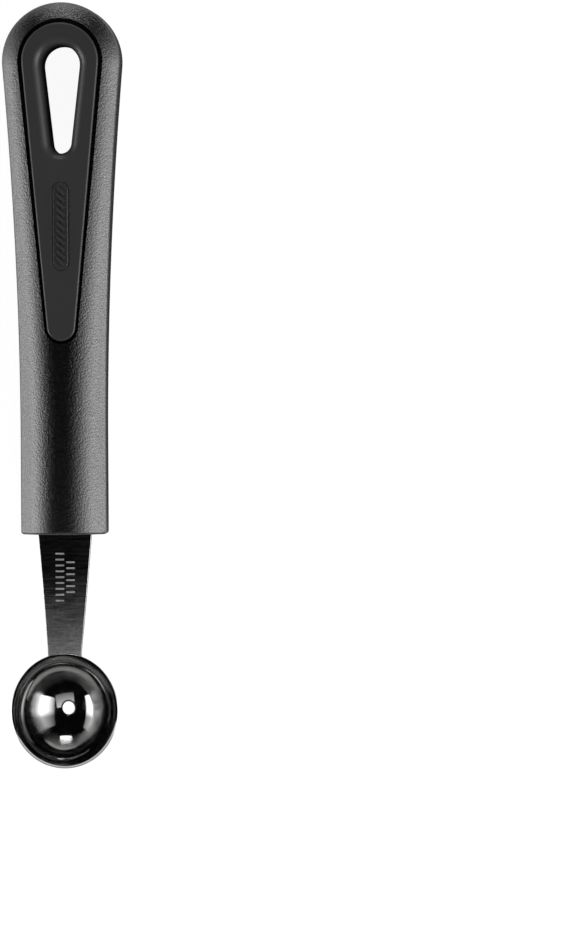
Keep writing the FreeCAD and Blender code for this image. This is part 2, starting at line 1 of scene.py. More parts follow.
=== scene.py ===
# %% [markdown]
# # A melon baller, dressed around its CAD frame
# The real tool is a small steel scoop on a flat steel shank, held by a black moulded handle with a
# soft inlay and a hanging loop. The CAD frame already has every piece at its real size and place.
# This lesson rebuilds the pieces that show with smooth, rounded meshes, and gives each its finish.

# %% Load the frame
import math

import bmesh
import bpy
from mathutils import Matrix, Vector


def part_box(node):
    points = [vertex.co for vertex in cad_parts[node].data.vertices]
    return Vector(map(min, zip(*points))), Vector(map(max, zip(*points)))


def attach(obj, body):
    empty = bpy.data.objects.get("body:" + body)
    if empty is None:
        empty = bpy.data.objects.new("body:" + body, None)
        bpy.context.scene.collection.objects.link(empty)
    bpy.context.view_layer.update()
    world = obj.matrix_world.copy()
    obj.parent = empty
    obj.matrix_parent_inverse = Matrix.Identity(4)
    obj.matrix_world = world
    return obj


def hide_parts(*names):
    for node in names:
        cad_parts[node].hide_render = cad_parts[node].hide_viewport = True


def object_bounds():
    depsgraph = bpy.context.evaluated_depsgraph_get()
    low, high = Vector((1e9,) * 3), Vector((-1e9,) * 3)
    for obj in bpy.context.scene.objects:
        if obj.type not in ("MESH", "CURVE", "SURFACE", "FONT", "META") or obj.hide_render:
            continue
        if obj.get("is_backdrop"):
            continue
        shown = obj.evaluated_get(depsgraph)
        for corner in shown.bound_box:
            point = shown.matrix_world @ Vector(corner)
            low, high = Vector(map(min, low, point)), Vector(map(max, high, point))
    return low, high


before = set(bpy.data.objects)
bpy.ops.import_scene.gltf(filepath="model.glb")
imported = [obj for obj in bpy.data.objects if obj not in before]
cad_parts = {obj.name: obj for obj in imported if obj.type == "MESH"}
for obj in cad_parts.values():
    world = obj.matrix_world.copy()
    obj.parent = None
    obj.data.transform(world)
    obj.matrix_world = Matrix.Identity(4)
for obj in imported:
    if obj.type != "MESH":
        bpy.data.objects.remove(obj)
cad_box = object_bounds()
print("CAD pieces:", ", ".join(sorted(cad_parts)))

# %% [markdown]
# ## Sizes
# A piece that stands for a CAD node has to fit its place exactly, so the large sizes are read from
# the nodes' boxes. Only what a box can't tell, such as a rounding or a wall, is written here. Blender
# works in metres, and MM turns the millimetres of a drawing into them.

# %% Sizes of the handle
MM = 0.001
shell_low, shell_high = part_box("handle_shell")
inlay_low, inlay_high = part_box("front_inlay")
bowl_low, bowl_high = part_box("scoop_bowl")
core_low, core_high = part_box("handle_core")
_, shank_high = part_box("shank")

mouth_y = shell_low.y
end_radius = shell_high.x
end_y = shell_high.y - end_radius
thickness = shell_high.z
middle_z = thickness / 2
mouth_half = 10.0 * MM
straight_y = mouth_y + 22.0 * MM
mouth_round = 0.7 * MM

inlay_radius = inlay_high.x
inlay_tip_radius = 3.3 * MM
inlay_tip_y = inlay_low.y + inlay_tip_radius
inlay_depth = 2.4 * MM
inlay_round = 0.5 * MM
groove_width = 1.0 * MM
groove_tip_width = 0.65 * MM

loop_radius = 4.55 * MM
loop_y = end_y - 0.85 * MM
loop_tip_radius = 2.5 * MM
loop_tip_y = loop_y - 18.0 * MM
loop_round = 2.2 * MM
collar_wall = 1.3 * MM
fit_gap = 0.1 * MM
print(f"handle {1000 * (shell_high.y - mouth_y):.1f} mm long, {1000 * thickness:.1f} mm thick")

# %% [markdown]
# ## Small helpers
# Colours are written as sRGB hex values, the way a colour picker shows them, and shaders want them
# linear. One function adds a node to any tree: it sets the node's own settings, then each input,
# which is either a plain value or a link from another node's output.

# %% Helpers for colours and nodes
def linear(hex_colour):
    """Linear RGBA of an sRGB hex colour."""
    channels = [int(hex_colour[place:place + 2], 16) / 255 for place in (1, 3, 5)]
    return [c / 12.92 if c <= 0.04045 else ((c + 0.055) / 1.055) ** 2.4 for c in channels] + [1.0]


def set_inputs(tree, node, inputs):
    """Put a plain value, or a link from another node's output, on each named input of a node."""
    for name, value in inputs.items():
        if isinstance(value, bpy.types.NodeSocket):
            tree.links.new(value, node.inputs[name])
        else:
            node.inputs[name].default_value = value


def add_node(tree, kind, inputs=None, **settings):
    """New node of a tree, with its settings and with values or links on its inputs."""
    node = tree.nodes.new(kind)
    for name, value in settings.items():
        setattr(node, name, value)
    set_inputs(tree, node, inputs or {})
    return node


# %% [markdown]
# Meshes are built in bmesh from formulas. When one is done, its doubles are merged, its faces turned
# outwards, and edges sharper than an angle stay crisp under smooth shading. Modifiers are settled
# into plain mesh, so that nothing stays live on a piece.

# %% Helpers for meshes
MERGE_DISTANCE = 1e-7
CRISP_ANGLE = math.radians(35)


def new_piece(name, shape, material=None):
    """Object made from a finished bmesh."""
    bmesh.ops.remove_doubles(shape, verts=shape.verts, dist=MERGE_DISTANCE)
    bmesh.ops.recalc_face_normals(shape, faces=shape.faces)
    mesh = bpy.data.meshes.new(name)
    shape.to_mesh(mesh)
    shape.free()
    mesh.shade_smooth()
    mesh.set_sharp_from_angle(angle=CRISP_ANGLE)
    piece = bpy.data.objects.new(name, mesh)
    bpy.context.scene.collection.objects.link(piece)
    if material:
        mesh.materials.append(material)
    return piece


def plain_mesh(piece):
    """Plain mesh of what a piece and its modifiers make."""
    graph = bpy.context.evaluated_depsgraph_get()
    return bpy.data.meshes.new_from_object(piece.evaluated_get(graph))


def carve(piece, cutters):
    """Cut other solids out of a piece, then let large flat faces rule the shading."""
    for cutter in cutters:
        cut = piece.modifiers.new("carve", "BOOLEAN")
        cut.operation = "DIFFERENCE"
        cut.solver = "EXACT"
        cut.object = cutter
    carved = plain_mesh(piece)
    piece.modifiers.clear()
    for cutter in cutters:
        bpy.data.objects.remove(cutter)
    carved.shade_smooth()
    carved.set_sharp_from_angle(angle=CRISP_ANGLE)
    piece.data = carved
    flats = piece.modifiers.new("flats", "WEIGHTED_NORMAL")
    flats.keep_sharp = True
    piece.data = plain_mesh(piece)
    piece.modifiers.clear()
    return piece


def stitch(shape, rings, closed):
    """Faces between rings of points that run alike; a closed ring joins its last point to its first."""
    rows = [[shape.verts.new(point) for point in ring] for ring in rings]
    for lower, upper in zip(rows, rows[1:]):
        count = len(lower)
        for here in range(count if closed else count - 1):
            after = (here + 1) % count
            shape.faces.new((lower[here], lower[after], upper[after], upper[here]))
    return rows


# %% [markdown]
# ## Materials
# A finish is a few patterns, and each drives one property of one shader. The same kinds of node come
# back in every finish, so each kind gets a short function that adds it and gives its output. Patterns
# are laid out in the object's own coordinates, so their sizes are real ones.

# %% Helpers for finishes
NOISE_SPAN = (0.3, 0.7)     # nearly all of a noise lies between these values


def new_material(name):
    """Material with an empty node tree, its shader and its object coordinates."""
    material = bpy.data.materials.new(name)
    material.use_nodes = True
    tree = material.node_tree
    tree.nodes.clear()
    shader = add_node(tree, "ShaderNodeBsdfPrincipled")
    add_node(tree, "ShaderNodeOutputMaterial", {"Surface": shader.outputs["BSDF"]})
    place = add_node(tree, "ShaderNodeTexCoord").outputs["Object"]
    return material, tree, shader, place


def stretched(tree, place, sizes):
    """Coordinates in which a pattern of size 1 gets these real sizes along X, Y and Z."""
    inputs = {"Vector": place, "Scale": [1 / size for size in sizes]}
    return add_node(tree, "ShaderNodeMapping", inputs).outputs["Vector"]


def noise(tree, place, size, detail, roughness=0.5):
    """Noise with lumps of about a given size."""
    inputs = {"Vector": place, "Scale": 1 / size, "Detail": detail, "Roughness": roughness}
    return add_node(tree, "ShaderNodeTexNoise", inputs).outputs["Fac"]


def colour_between(tree, share, dark, light):
    """Colour between two sRGB hex colours."""
    inputs = {"Factor": share, "A": linear(dark), "B": linear(light)}
    return add_node(tree, "ShaderNodeMix", inputs, data_type="RGBA").outputs["Result"]


def carried(tree, value, source, target, **settings):
    """Value carried from one range into another."""
    inputs = {
        "Value": value, "From Min": source[0], "From Max": source[1],
        "To Min": target[0], "To Max": target[1],
    }
    return add_node(tree, "ShaderNodeMapRange", inputs, **settings).outputs["Result"]


def calculate(tree, operation, *values):
    """Result of one step of arithmetic."""
    return add_node(tree, "ShaderNodeMath", dict(enumerate(values)), operation=operation).outputs[0]


def bump(tree, height, strength, depth, over=None):
    """Normal of a bump of a real depth, which can lie over another bump's normal."""
    inputs = {"Height": height, "Strength": strength, "Distance": depth}
    if over is not None:
        inputs["Normal"] = over
    return add_node(tree, "ShaderNodeBump", inputs).outputs["Normal"]


# %% [markdown]
# Each finish starts from what the real one is. The handle is polypropylene moulded against a
# spark-eroded steel mould, which leaves a fine, even grain: the grain breaks the highlights up
# into a soft satin. It could be displaced geometry, but a bump at this scale gives the same light.

# %% Grained black plastic
def moulded_polypropylene():
    """Black polypropylene from a spark-eroded mould: satin, with a fine grain in its highlights."""
    # The real grain is about 0.15 mm across; it is drawn coarser, so that it shows in the render.
    grain_size = 0.45 * MM
    grain_depth = 0.16 * MM
    patch_size = 9.0 * MM
    smooth, rough = 0.2, 0.27
    material, tree, shader, place = new_material("polypropylene_moulded_fine_grain")
    grain = noise(tree, place, grain_size, detail=3.0, roughness=0.6)
    patches = noise(tree, place, patch_size, detail=2.0)
    set_inputs(tree, shader, {
        "Base Color": colour_between(tree, patches, "#060606", "#0c0c0c"),
        "Roughness": carried(tree, grain, NOISE_SPAN, (smooth, rough)),
        "Normal": bump(tree, grain, strength=0.8, depth=grain_depth),
        "IOR": 1.6,
        "Specular IOR Level": 1.0,
    })
    return material


shell_plastic = moulded_polypropylene()
print("material", shell_plastic.name)

# %% [markdown]
# The inlay is a thermoplastic rubber, moulded against a matt tool face. Its flat face reads as one
# quiet dark grey, and its rounded edge catches a soft light line from the lamps at the sides.

# %% Matt rubber and plain core plastic
def moulded_rubber():
    """Dark grey thermoplastic rubber, moulded matt: an even grey with soft, weak highlights."""
    # The grain of a matt mould is finer than 0.2 mm; it is drawn coarser, so that it shows.
    grain_size = 0.4 * MM
    grain_depth = 0.05 * MM
    cloud_size = 14.0 * MM
    smooth, rough = 0.33, 0.42
    material, tree, shader, place = new_material("thermoplastic_rubber_moulded_matt")
    grain = noise(tree, place, grain_size, detail=2.0)
    clouds = noise(tree, place, cloud_size, detail=1.0)
    set_inputs(tree, shader, {
        "Base Color": colour_between(tree, clouds, "#404040", "#464646"),
        "Roughness": carried(tree, grain, NOISE_SPAN, (smooth, rough)),
        "Normal": bump(tree, grain, strength=0.15, depth=grain_depth),
        "IOR": 1.5,
    })
    return material


def moulded_core_plastic():
    """Plain black polypropylene of a hidden part, with faint flow marks along the handle."""
    flow_width = 0.8 * MM
    flow_length = 12.0 * MM
    material, tree, shader, place = new_material("polypropylene_moulded_plain")
    along = stretched(tree, place, (flow_width, flow_length, flow_width))
    flow = noise(tree, along, size=1.0, detail=2.0)
    set_inputs(tree, shader, {
        "Base Color": colour_between(tree, flow, "#0a0a0a", "#161616"),
        "Roughness": 0.5,
        "IOR": 1.49,
    })
    return material


inlay_rubber = moulded_rubber()
core_plastic = moulded_core_plastic()
print("materials", inlay_rubber.name, "and", core_plastic.name)

# %% [markdown]
# The bowl is stainless sheet, drawn to shape and polished to a mirror on a soft wheel. A mirror shows
# the room and not itself, so what sells it is a slight unevenness: shallow waves from the drawing, faint
# ripples round its axis, and a belt part way up the wall with fine wheel lines. Lines that run round the
# bowl spread a reflection across them, away from the axis. As a bump, lines that fine would sparkle, so
# the shader's own directional gloss does it: the Tangent input says which way the light spreads. The
# shank is ground strip, with fine lines across it.

# %% Steels
WAVE_RADIANS = 20     # the wave texture turns this far over one unit of its scale
bowl_axis_y = bowl_low.y + (bowl_high.y - bowl_low.y) / 2


def polished_stainless():
    """Stainless sheet polished to a mirror, with faint waves and ripples and a belt of wheel lines."""
    ripple_pitch = 3.14 * MM
    ripple_depth = 0.02 * MM
    wave_size = 5.0 * MM
    wave_depth = 0.15 * MM
    haze_size = 1.6 * MM
    haze_span = (0.35, 0.7)
    smooth, rough = 0.03, 0.09
    belt_radius = 7.6 * MM
    belt_middle = 0.4 * MM
    belt_edge = 1.8 * MM
    belt_roughness = 0.13
    material, tree, shader, place = new_material("stainless_steel_mirror_polished")
    outwards = add_node(
        tree, "ShaderNodeMapping",
        {"Vector": place, "Location": (0, -bowl_axis_y, 0), "Scale": (1, 1, 0)},
    ).outputs["Vector"]
    ripples = add_node(
        tree, "ShaderNodeTexWave",
        {"Vector": outwards, "Scale": 2 * math.pi / (WAVE_RADIANS * ripple_pitch), "Distortion": 1.5,
         "Detail": 2.0, "Detail Scale": 1.0},
        wave_type="RINGS", rings_direction="Z",
    ).outputs["Fac"]
    waves = noise(tree, place, wave_size, detail=1.0)
    drawn = bump(tree, waves, strength=0.25, depth=wave_depth)
    clouds = noise(tree, place, haze_size, detail=3.0)
    haze = carried(tree, clouds, haze_span, (smooth, rough))
    radius = add_node(tree, "ShaderNodeVectorMath", {0: outwards}, operation="LENGTH").outputs["Value"]
    off_belt = calculate(tree, "ABSOLUTE", calculate(tree, "SUBTRACT", radius, belt_radius))
    belt = carried(
        tree, off_belt, (belt_middle, belt_edge), (1.0, 0.0), interpolation_type="SMOOTHSTEP"
    )
    set_inputs(tree, shader, {
        "Base Color": linear("#c9c9c8"),
        "Metallic": 1.0,
        "Roughness": calculate(tree, "MULTIPLY_ADD", belt, belt_roughness, haze),
        "Anisotropic": 0.9,
        "Tangent": outwards,
        "Normal": bump(tree, ripples, strength=0.06, depth=ripple_depth, over=drawn),
    })
    return material


def ground_strip_steel(name, dark, light, smooth, rough, haze):
    """Stainless strip, ground across and polished; a haze from dressing its weld grows to the bowl."""
    # Real grinding lines are about 0.02 mm apart; they are drawn coarser, so that they show.
    line_pitch = 0.25 * MM
    line_length = 3.5 * MM
    line_depth = 0.02 * MM
    scuff_size = 0.7 * MM
    worn_span = (0.75, 1.25)
    haze_start = mouth_y - 8.0 * MM
    material, tree, shader, place = new_material(name)
    across = stretched(tree, place, (line_length, line_pitch, line_length))
    lines = noise(tree, across, size=1.0, detail=3.0)
    scuffs = noise(tree, place, scuff_size, detail=5.0, roughness=0.7)
    tone = carried(tree, calculate(tree, "ADD", lines, scuffs), worn_span, (0.0, 1.0))
    gloss = carried(tree, lines, NOISE_SPAN, (smooth, rough))
    along = add_node(tree, "ShaderNodeSeparateXYZ", {"Vector": place}).outputs["Y"]
    dressing = carried(tree, along, (haze_start, bowl_high.y), (0.0, haze))
    set_inputs(tree, shader, {
        "Base Color": colour_between(tree, tone, dark, light),
        "Metallic": 1.0,
        "Roughness": calculate(tree, "ADD", gloss, dressing),
        "Normal": bump(tree, lines, strength=0.12, depth=line_depth),
    })
    return material


bowl_steel = polished_stainless()
strip_steel = ground_strip_steel(
    "stainless_steel_ground_strip", "#9c9c9c", "#d4d4d3", smooth=0.12, rough=0.2, haze=0.36
)
mark_steel = ground_strip_steel(
    "stainless_steel_etched_marks", "#d2d2d2", "#e6e6e6", smooth=0.5, rough=0.7, haze=0.0
)
weld_steel = ground_strip_steel(
    "stainless_steel_weld_bead", "#8d8a84", "#b5b2ad", smooth=0.25, rough=0.4, haze=0.0
)
print("materials", ", ".join(item.name for item in (bowl_steel, strip_steel, mark_steel, weld_steel)))

# %% [markdown]
# ## Handle shell
# The shell is a moulded bar. Seen from the front it runs straight from the mouth, widens along a long
# gentle arc and ends in a half circle. Its section is a shallow crown, a bevel and a small rounding
# down to a straight side, and the bevel narrows towards the round end. A sweep would keep one section
# and bunch up at the end, so the section is worked out at stations along half the outline, each set
# square to it; the stations are stitched together and mirrored.

# %% The shell's section
CROWN_STEPS = 14
EDGE_STEPS = 6
crown_radius = 10.5 * MM
bevel_slope = math.radians(41)
bevel_run = 2.1 * MM
bevel_end_run = 0.4 * MM
side_round = 1.0 * MM


def half_section(bevel):
    """Upper half of a section, from side to crown: insets, heights above the middle and slopes."""
    sine, cosine = math.sin(bevel_slope), math.cos(bevel_slope)
    bevel_drop = bevel * math.tan(bevel_slope)
    side_top = thickness / 2 - crown_radius * (1 - cosine) - bevel_drop - side_round * cosine
    crown_inset = side_round * (1 - sine) + bevel + crown_radius * sine
    points = []
    for step in range(EDGE_STEPS + 1):
        slope = math.pi / 2 + (bevel_slope - math.pi / 2) * step / EDGE_STEPS
        inset = side_round * (1 - math.sin(slope))
        points.append((inset, side_top + side_round * math.cos(slope), slope))
    for step in range(CROWN_STEPS + 1):
        slope = bevel_slope * (1 - step / CROWN_STEPS)
        drop = crown_radius * (1 - math.cos(slope))
        points.append((crown_inset - crown_radius * math.sin(slope), thickness / 2 - drop, slope))
    return points


# %% The shell's outline
MOUTH_STEPS = 6
SIDE_STEPS = 28
END_STEPS = 30
side_run = end_y - straight_y
side_radius = (mouth_half**2 + side_run**2 - end_radius**2) / (2 * (end_radius - mouth_half))
side_turn = math.asin(side_run / (side_radius + end_radius))


def stations():
    """Places along half the outline: point, way inwards, shrink of the section, run of its bevel."""
    inwards = Vector((-1, 0))
    for step in range(MOUTH_STEPS + 1):
        angle = math.pi / 2 * (1 - step / MOUTH_STEPS)
        y = mouth_y + mouth_round * (1 - math.sin(angle))
        yield Vector((mouth_half, y)), inwards, mouth_round * (1 - math.cos(angle)), bevel_run
    for step in range(SIDE_STEPS):
        share = step / SIDE_STEPS
        way = Vector((-math.cos(side_turn * share), math.sin(side_turn * share)))
        bevel = bevel_run + (bevel_end_run - bevel_run) * share**2 * (3 - 2 * share)
        yield Vector((mouth_half + side_radius, straight_y)) + side_radius * way, way, 0.0, bevel
    for step in range(END_STEPS + 1):
        angle = -side_turn + (math.pi / 2 + side_turn) * step / END_STEPS
        way = Vector((math.cos(angle), math.sin(angle)))
        yield Vector((0, end_y)) + end_radius * way, -way, 0.0, bevel_end_run


def station_ring(point, inwards, shrink, bevel):
    """Section at a station, from the middle line below to the middle line above."""
    upper = []
    for inset, height, slope in half_section(bevel):
        x, y = point + inwards * (inset + shrink * math.sin(slope))
        upper.append((x, y, height - shrink * math.cos(slope)))
    upper.append((0, upper[-1][1], upper[-1][2]))
    lower = [(x, y, -height) for x, y, height in reversed(upper)]
    return [(x, y, middle_z + height) for x, y, height in lower + upper]


def shell_blank():
    """Solid bar of the handle, before its seats, loop and bore are cut."""
    shape = bmesh.new()
    rows = stitch(shape, [station_ring(*station) for station in stations()], closed=False)
    shape.faces.new(rows[0])
    bmesh.ops.remove_doubles(shape, verts=shape.verts, dist=MERGE_DISTANCE)
    half = shape.verts[:] + shape.edges[:] + shape.faces[:]
    bmesh.ops.mirror(shape, geom=half, axis="X", merge_dist=MERGE_DISTANCE)
    return new_piece("shell_grip", shape, shell_plastic)


shell = shell_blank()
print(f"shell blank: {len(shell.data.polygons)} faces, side arc {side_radius:.2f} m")

# %% [markdown]
# The seats and the loop are drops: two circles joined by their outer tangents. One function gives the
# points of a drop grown by any amount, and the points of two grown drops pair up, so walls and
# roundings are again stacks of rings. Cutters are simple stacks of two rings, closed at both ends.

# %% Drops, cutters and the finished shell
ARC_STEPS = 40
TANGENT_STEPS = 10
CLEAR = 1.0 * MM


def drop_ring(big_radius, big_y, small_radius, small_y, grow, height):
    """Points round a drop that is grown outwards, at a height."""
    lean = math.asin((big_radius - small_radius) / (big_y - small_y))
    big = big_radius + grow
    small = small_radius + grow
    points = []
    for step in range(ARC_STEPS + 1):
        angle = -lean + (math.pi + 2 * lean) * step / ARC_STEPS
        points.append(Vector((big * math.cos(angle), big_y + big * math.sin(angle), height)))
    for step in range(ARC_STEPS + 1):
        angle = math.pi + lean + (math.pi - 2 * lean) * step / ARC_STEPS
        points.append(Vector((small * math.cos(angle), small_y + small * math.sin(angle), height)))
    left = [points[ARC_STEPS].lerp(points[ARC_STEPS + 1], step / TANGENT_STEPS)
            for step in range(1, TANGENT_STEPS)]
    right = [points[-1].lerp(points[0], step / TANGENT_STEPS) for step in range(1, TANGENT_STEPS)]
    return points[:ARC_STEPS + 1] + left + points[ARC_STEPS + 1:] + right


def inlay_ring(grow, height):
    """Points round an inlay."""
    return drop_ring(inlay_radius, end_y, inlay_tip_radius, inlay_tip_y, grow, height)


def loop_ring(grow, height):
    """Points round the hanging loop."""
    return drop_ring(loop_radius, loop_y, loop_tip_radius, loop_tip_y, grow, height)


def prism(name, rings):
    """Solid between rings, closed at both ends."""
    shape = bmesh.new()
    rows = stitch(shape, rings, closed=True)
    shape.faces.new(rows[0])
    shape.faces.new(rows[-1])
    return new_piece(name, shape)


def bore_ring(y):
    """Section of the bore for the core: a strip with half-round sides."""
    half_height = (core_high.z - core_low.z) / 2 + fit_gap
    half_flat = core_high.x + fit_gap - half_height
    points = []
    for side in (0, 1):
        for step in range(ARC_STEPS + 1):
            angle = math.pi * (side + step / ARC_STEPS) - math.pi / 2
            x = half_flat * (1 - 2 * side) + half_height * math.cos(angle)
            points.append((x, y, middle_z + half_height * math.sin(angle)))
    return points


def seat_ring(height):
    """Edge of an inlay's seat: the inlay and its groove, which narrows towards the tip."""
    tip = inlay_tip_radius + groove_tip_width
    return drop_ring(inlay_radius + groove_width, end_y, tip, inlay_tip_y, 0, height)


front_seat = prism("front_seat", [seat_ring(thickness - inlay_depth), seat_ring(thickness + CLEAR)])
rear_seat = prism("rear_seat", [seat_ring(-CLEAR), seat_ring(inlay_depth)])
loop_hole = prism("loop_hole", [
    loop_ring(collar_wall + fit_gap, -CLEAR), loop_ring(collar_wall + fit_gap, thickness + CLEAR),
])
bore = prism("bore", [bore_ring(mouth_y - CLEAR), bore_ring(core_high.y + fit_gap)])
carve(shell, [front_seat, rear_seat, loop_hole, bore])
print(f"shell: {len(shell.data.polygons)} faces after its seats, loop and bore")

# %% [markdown]
# ## Inlays
# Each inlay is one soft moulding: a plate with a rounded edge, a flared funnel at the loop and a
# collar that lines the loop as far as the middle of the handle. All of that is one closed stack of
# drop rings, out of the seat, over the plate, down the funnel and back underneath. The rear one is
# the same stack turned over. The front one has a badge, a pill-shaped line, which is engraved.

# %% Inlays
FLARE_STEPS = 12
badge_y = end_y - 38.2 * MM
badge_half_length = 10.5 * MM
badge_half_width = 2.2 * MM
badge_line = 0.6 * MM
badge_depth = 0.3 * MM


def inlay_rings(flip):
    """Closed stack of rings of an inlay; flip turns a height over for the rear one."""
    quarter = math.pi / 2
    rings = [inlay_ring(0, flip(thickness - inlay_depth))]
    for step in range(EDGE_STEPS + 1):
        angle = quarter * step / EDGE_STEPS
        inset = inlay_round * (1 - math.cos(angle))
        rings.append(inlay_ring(-inset, flip(thickness - inlay_round * (1 - math.sin(angle)))))
    for step in range(FLARE_STEPS + 1):
        angle = quarter * step / FLARE_STEPS
        grow = loop_round * (1 - math.sin(angle))
        rings.append(loop_ring(grow, flip(thickness - loop_round * (1 - math.cos(angle)))))
    rings.append(loop_ring(0, flip(middle_z)))
    rings.append(loop_ring(collar_wall, flip(middle_z)))
    rings.append(loop_ring(collar_wall, flip(thickness - inlay_depth)))
    rings.append(rings[0])
    return rings


def make_inlay(name, flip):
    """Inlay before anything is engraved in it."""
    shape = bmesh.new()
    stitch(shape, inlay_rings(flip), closed=True)
    return new_piece(name, shape, inlay_rubber)


def badge_ring(grow, height):
    """Points round the badge's pill: a drop with two equal ends."""
    run = badge_half_length - badge_half_width
    return drop_ring(badge_half_width, badge_y + run, badge_half_width, badge_y - run, grow, height)


def badge_cutter():
    """Solid of the engraved line: a groove with sloping walls, open at the top."""
    high = thickness + CLEAR
    bottom = badge_ring(-badge_line / 2, thickness - badge_depth)
    shape = bmesh.new()
    stitch(shape, [
        bottom, badge_ring(0, thickness), badge_ring(0, high), badge_ring(-badge_line, high),
        badge_ring(-badge_line, thickness), bottom,
    ], closed=True)
    return new_piece("badge_cutter", shape)


front_inlay = make_inlay("inlay_front", lambda height: height)
carve(front_inlay, [badge_cutter()])
rear_inlay = make_inlay("inlay_rear", lambda height: thickness - height)
carve(rear_inlay, [])     # nothing is cut out, but it gets the same shading as the front one
print(f"inlays: {len(front_inlay.data.polygons)} and {len(rear_inlay.data.polygons)} faces")

# %% [markdown]
# Inside the badge are plain slanted grip ribs of the same rubber. Ribs repeat along a line, so Geometry
# Nodes make them: a row of points, one rounded bar on each. The tree has named inputs for its sizes,
# and is settled into plain mesh.

# %% Ribs in the badge
def new_tree(name, sizes):
    """Geometry node tree with an input for each named size; gives the tree and its input node."""
    tree = bpy.data.node_groups.new(name, "GeometryNodeTree")
    tree.interface.new_socket("Geometry", in_out="INPUT", socket_type="NodeSocketGeometry")
    tree.interface.new_socket("Geometry", in_out="OUTPUT", socket_type="NodeSocketGeometry")
    for size, value in sizes.items():
        kind = "NodeSocketInt" if isinstance(value, int) else "NodeSocketFloat"
        tree.interface.new_socket(size, in_out="INPUT", socket_type=kind)
    return tree, add_node(tree, "NodeGroupInput")


def end_tree(tree, geometry, material):
    """Last nodes of a tree: real geometry, and its material."""
    real = add_node(tree, "GeometryNodeRealizeInstances", {"Geometry": geometry})
    dressed = add_node(
        tree, "GeometryNodeSetMaterial", {"Geometry": real.outputs["Geometry"], "Material": material}
    )
    add_node(tree, "NodeGroupOutput", {"Geometry": dressed.outputs["Geometry"]})


def grow_piece(name, source, tree, sizes):
    """Plain mesh piece of what a tree makes from a source object; the source is removed."""
    modifier = source.modifiers.new("grow", "NODES")
    modifier.node_group = tree
    for item in tree.interface.items_tree:
        if item.in_out == "INPUT" and item.name in sizes:
            modifier[item.identifier] = sizes[item.name]
    mesh = plain_mesh(source)
    mesh.name = name
    bpy.data.objects.remove(source)
    piece = bpy.data.objects.new(name, mesh)
    bpy.context.scene.collection.objects.link(piece)
    return piece


def line_object(name, points, closed=False):
    """Curve object of straight pieces through points."""
    curve = bpy.data.curves.new(name, "CURVE")
    curve.dimensions = "3D"
    spline = curve.splines.new("POLY")
    spline.points.add(len(points) - 1)
    for target, point in zip(spline.points, points):
        target.co = (*point, 1.0)
    spline.use_cyclic_u = closed
    source = bpy.data.objects.new(name, curve)
    bpy.context.scene.collection.objects.link(source)
    return source


def bars_on_line(name, material, sizes):
    """Tree that sets rounded bars across a line, evenly spaced and turned by a lean."""
    tree, given = new_tree(name, sizes)
    bar_size = add_node(
        tree, "ShaderNodeCombineXYZ",
        {"X": given.outputs["Bar length"], "Y": given.outputs["Bar height"],
         "Z": given.outputs["Bar width"]},
    )
    bar = add_node(tree, "GeometryNodeMeshCube", {"Size": bar_size.outputs["Vector"]})
    rounded = add_node(
        tree, "GeometryNodeSubdivisionSurface",
        {"Mesh": bar.outputs["Mesh"], "Level": 3, "Edge Crease": 0.75},
    )
    points = add_node(
        tree, "GeometryNodeCurveToPoints",
        {"Curve": given.outputs["Geometry"], "Count": given.outputs["Count"]}, mode="COUNT",
    )
    bars = add_node(
        tree, "GeometryNodeInstanceOnPoints",
        {"Points": points.outputs["Points"], "Instance": rounded.outputs["Mesh"],
         "Rotation": points.outputs["Rotation"]},
    )
    lean = add_node(tree, "ShaderNodeCombineXYZ", {"Y": given.outputs["Lean"]})
    turned = add_node(
        tree, "GeometryNodeRotateInstances",
        {"Instances": bars.outputs["Instances"], "Rotation": lean.outputs["Vector"],
         "Local Space": True},
    )
    end_tree(tree, turned.outputs["Instances"], material)
    return tree


rib_sizes = {
    "Count": 11, "Bar length": 2.6 * MM, "Bar width": 0.8 * MM, "Bar height": 0.8 * MM,
    "Lean": math.radians(45),
}
rib_run = 8.2 * MM
rib_line = line_object(
    "rib_line", [(0, badge_y - rib_run, thickness), (0, badge_y + rib_run, thickness)]
)
badge_ribs = grow_piece(
    "badge_ribs", rib_line, bars_on_line("badge ribs", inlay_rubber, rib_sizes), rib_sizes
)
print("ribs:", [round(1000 * size, 2) for size in badge_ribs.dimensions], "mm")

# %% [markdown]
# ## Scoop bowl
# The bowl is a little less than half a ball of thin sheet, with a rim rounded off on its outside and
# a drain hole. Geometry Nodes sweep the sheet's closed section round a circle, which gives inner and
# outer walls, the rim and the hole's edge in one skin. The real bowl is slightly longer than wide, so
# the swept one is stretched to the frame's width and length as it is put in place.

# %% Scoop bowl
SECTION_STEPS = 40
RIM_STEPS = 6
bowl_sheet = 0.6 * MM
rim_z = bowl_high.z
ball_inside = 12.71 * MM
ball_outside = ball_inside + bowl_sheet
ball_z = rim_z + 2.31 * MM      # the ball's middle lies above the rim
rim_radius = math.sqrt(ball_outside**2 - (ball_z - rim_z)**2)
width_share = bowl_high.x / rim_radius
length_share = (bowl_high.y - bowl_axis_y) / rim_radius
drain_radius = 1.5 * MM
rim_round = 0.22 * MM
hole_round = 0.35 * MM


def wall_points(radius, below_rim):
    """Points up a ball's wall, from the drain hole to some way below the rim."""
    first = math.asin((drain_radius + hole_round) / radius)
    last = math.acos((ball_z - rim_z + below_rim) / radius)
    angles = [first + (last - first) * step / SECTION_STEPS for step in range(SECTION_STEPS + 1)]
    return [(radius * math.sin(angle), ball_z - radius * math.cos(angle)) for angle in angles]


